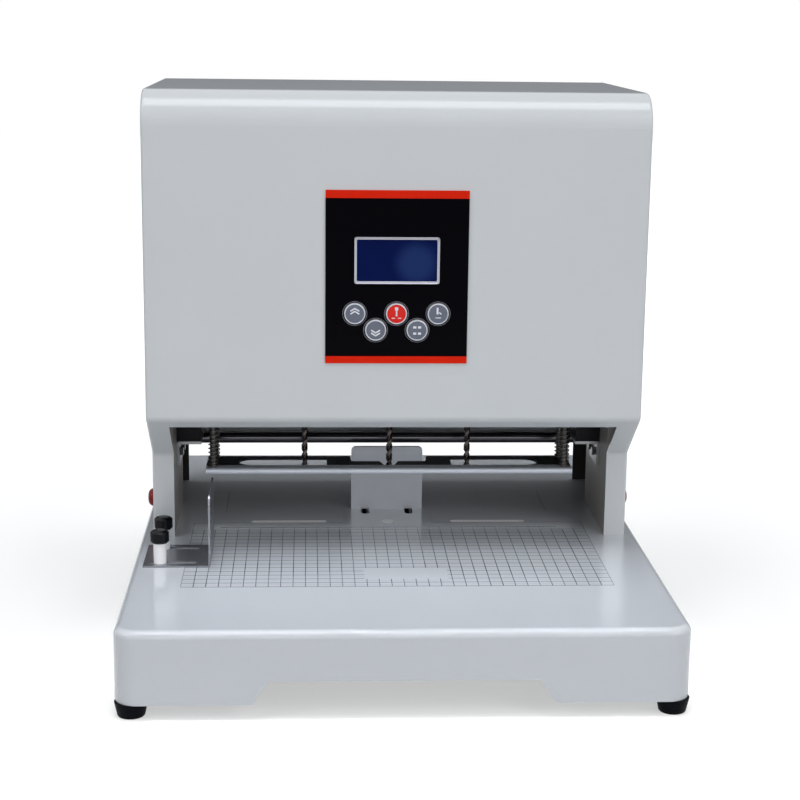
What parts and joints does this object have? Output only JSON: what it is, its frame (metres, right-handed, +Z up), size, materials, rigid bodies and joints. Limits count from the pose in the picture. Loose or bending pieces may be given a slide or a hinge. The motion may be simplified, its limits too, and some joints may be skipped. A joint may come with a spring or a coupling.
{
  "type": "paper drill",
  "caption": "Electric desk paper drill: a hollow head on columns lowers drills and a sprung press beam onto a table with a back gauge and a sliding side fence.",
  "frame": {"origin": "centre of the footprint on the surface that the rubber feet stand on", "axes": "+Z up, -Y towards the operator, +X to the operator's right"},
  "size_m": [0.4384, 0.5424, 0.459],
  "materials": {
    "paint_white": "semi-gloss powder coat",
    "steel": "ground steel",
    "zinc": "zinc plated",
    "bright_steel": "polished",
    "aluminium": "bright extruded bar",
    "black_steel": "black oxide",
    "spring_steel": "oiled spring wire",
    "drill_steel": "high-speed steel",
    "motor_black": "black enamel",
    "bronze": "turned bronze",
    "belt_rubber": "matt",
    "foot_rubber": "matt",
    "nylon": "satin",
    "black_plastic": "satin",
    "panel_black": "gloss",
    "screen": "screen",
    "key_grey": "satin",
    "red": "gloss",
    "board_green": "board",
    "supply_grey": "zinc case"
  },
  "bodies": {
    "frame": {"base_table": "paint_white", "base_plate": "steel", "feet": "foot_rubber", "drill_pads": "nylon", "side_plate_left": "steel", "side_plate_right": "steel", "top_plate": "steel", "casing": "paint_white", "rear_cover": "paint_white", "column_brackets": "zinc", "column_feet": "black_steel", "guide_columns": "bright_steel", "cross_bar": "bright_steel", "lift_motor": "motor_black", "screw_bearing": "bronze", "lift_belt": "belt_rubber", "control_panel": "panel_black", "display": "screen", "control_board": "board_green", "power_supply": "supply_grey", "power_inlet": "black_plastic", "button_switches": "black_plastic", "fence_studs": "zinc", "clamp_spacers": "nylon", "frame_screws": "zinc"},
    "carriage": {"carriage_plate": "steel", "carriage_bushes": "bronze", "screw_nut": "bronze", "centre_housing": "steel", "centre_motor": "motor_black"},
    "left_unit": {"left_housing": "steel", "left_motor": "motor_black"},
    "right_unit": {"right_housing": "steel", "right_motor": "motor_black"},
    "left_spindle": {"left_chuck": "bright_steel", "left_drill": "drill_steel"},
    "centre_spindle": {"centre_chuck": "bright_steel", "centre_drill": "drill_steel"},
    "right_spindle": {"right_chuck": "bright_steel", "right_drill": "drill_steel"},
    "press": {"press_bar": "aluminium", "press_plates": "black_steel", "press_rods": "bright_steel", "press_springs": "spring_steel"},
    "lift_screw": {"lead_screw": "bright_steel", "screw_pulley": "aluminium"},
    "motor_shaft": {"motor_pulley": "aluminium"},
    "fence": {"side_fence": "steel"},
    "front_knob": {"clamp_knob_front": "black_plastic"},
    "rear_knob": {"clamp_knob_rear": "black_plastic"},
    "gauge": {"back_gauge": "steel", "gauge_screws": "black_plastic"},
    "up_key": {"key_up": "key_grey"},
    "drill_key": {"key_drill": "red"},
    "set_key": {"key_set": "key_grey"},
    "down_key": {"key_down": "key_grey"},
    "mode_key": {"key_mode": "key_grey"},
    "left_button": {"button_left": "red"},
    "right_button": {"button_right": "red"},
    "rocker": {"power_rocker": "black_plastic"}
  },
  "joints": [
    {"name": "carriage_lift", "type": "slide", "parent": "frame", "child": "carriage", "axis": [0, 0, 1], "range_m": [-0.049, 0]},
    {"name": "left_unit_slide", "type": "slide", "parent": "carriage", "child": "left_unit", "axis": [1, 0, 0], "range_m": [-0.044, 0.016]},
    {"name": "right_unit_slide", "type": "slide", "parent": "carriage", "child": "right_unit", "axis": [1, 0, 0], "range_m": [-0.01, 0.05]},
    {"name": "left_spindle_spin", "type": "hinge", "parent": "left_unit", "child": "left_spindle", "pos_m": [-0.076, 0.021, 0.18], "axis": [0, 0, 1], "continuous": true},
    {"name": "centre_spindle_spin", "type": "hinge", "parent": "carriage", "child": "centre_spindle", "pos_m": [0, 0.021, 0.18], "axis": [0, 0, 1], "continuous": true},
    {"name": "right_spindle_spin", "type": "hinge", "parent": "right_unit", "child": "right_spindle", "pos_m": [0.07, 0.021, 0.18], "axis": [0, 0, 1], "continuous": true},
    {"name": "press_slide", "type": "slide", "parent": "carriage", "child": "press", "axis": [0, 0, 1], "range_m": [0, 0.0395], "stiffness_N_per_m": 1200, "springref_m": -0.02, "deforming": ["press_springs"]},
    {"name": "lead_screw_spin", "type": "hinge", "parent": "frame", "child": "lift_screw", "pos_m": [0, 0.075, 0.28], "axis": [0, 0, 1], "range_deg": [-2210, 5]},
    {"name": "motor_pulley_spin", "type": "hinge", "parent": "frame", "child": "motor_shaft", "pos_m": [0.074, 0.05, 0.418], "axis": [0, 0, 1], "range_deg": [-5080, 10]},
    {"name": "side_fence_slide", "type": "slide", "parent": "frame", "child": "fence", "axis": [1, 0, 0], "range_m": [-0.027, 0.006]},
    {"name": "front_knob_turn", "type": "hinge", "parent": "frame", "child": "front_knob", "pos_m": [-0.196, -0.104, 0.092], "axis": [0, 0, 1], "range_deg": [0, 360]},
    {"name": "rear_knob_turn", "type": "hinge", "parent": "frame", "child": "rear_knob", "pos_m": [-0.196, -0.064, 0.092], "axis": [0, 0, 1], "range_deg": [0, 360]},
    {"name": "back_gauge_slide", "type": "slide", "parent": "frame", "child": "gauge", "axis": [0, 1, 0], "range_m": [-0.014, 0.01]},
    {"name": "up_key_press", "type": "slide", "parent": "frame", "child": "up_key", "axis": [0, 1, 0], "range_m": [0, 0.0012], "stiffness_N_per_m": 1500, "springref_m": -0.0005},
    {"name": "drill_key_press", "type": "slide", "parent": "frame", "child": "drill_key", "axis": [0, 1, 0], "range_m": [0, 0.0012], "stiffness_N_per_m": 1500, "springref_m": -0.0005},
    {"name": "set_key_press", "type": "slide", "parent": "frame", "child": "set_key", "axis": [0, 1, 0], "range_m": [0, 0.0012], "stiffness_N_per_m": 1500, "springref_m": -0.0005},
    {"name": "down_key_press", "type": "slide", "parent": "frame", "child": "down_key", "axis": [0, 1, 0], "range_m": [0, 0.0012], "stiffness_N_per_m": 1500, "springref_m": -0.0005},
    {"name": "mode_key_press", "type": "slide", "parent": "frame", "child": "mode_key", "axis": [0, 1, 0], "range_m": [0, 0.0012], "stiffness_N_per_m": 1500, "springref_m": -0.0005},
    {"name": "left_button_press", "type": "slide", "parent": "frame", "child": "left_button", "axis": [1, 0, 0], "range_m": [0, 0.003], "stiffness_N_per_m": 900, "springref_m": -0.0012},
    {"name": "right_button_press", "type": "slide", "parent": "frame", "child": "right_button", "axis": [-1, 0, 0], "range_m": [0, 0.003], "stiffness_N_per_m": 900, "springref_m": -0.0012},
    {"name": "power_rocker_tilt", "type": "hinge", "parent": "frame", "child": "rocker", "pos_m": [0.128, 0.17, 0.197], "axis": [1, 0, 0], "range_deg": [0, 16]}
  ],
  "couplings": [
    {"joint": "lead_screw_spin", "follows": "carriage_lift", "rad_per_m": 785.4},
    {"joint": "motor_pulley_spin", "follows": "carriage_lift", "rad_per_m": 1806.4}
  ]
}
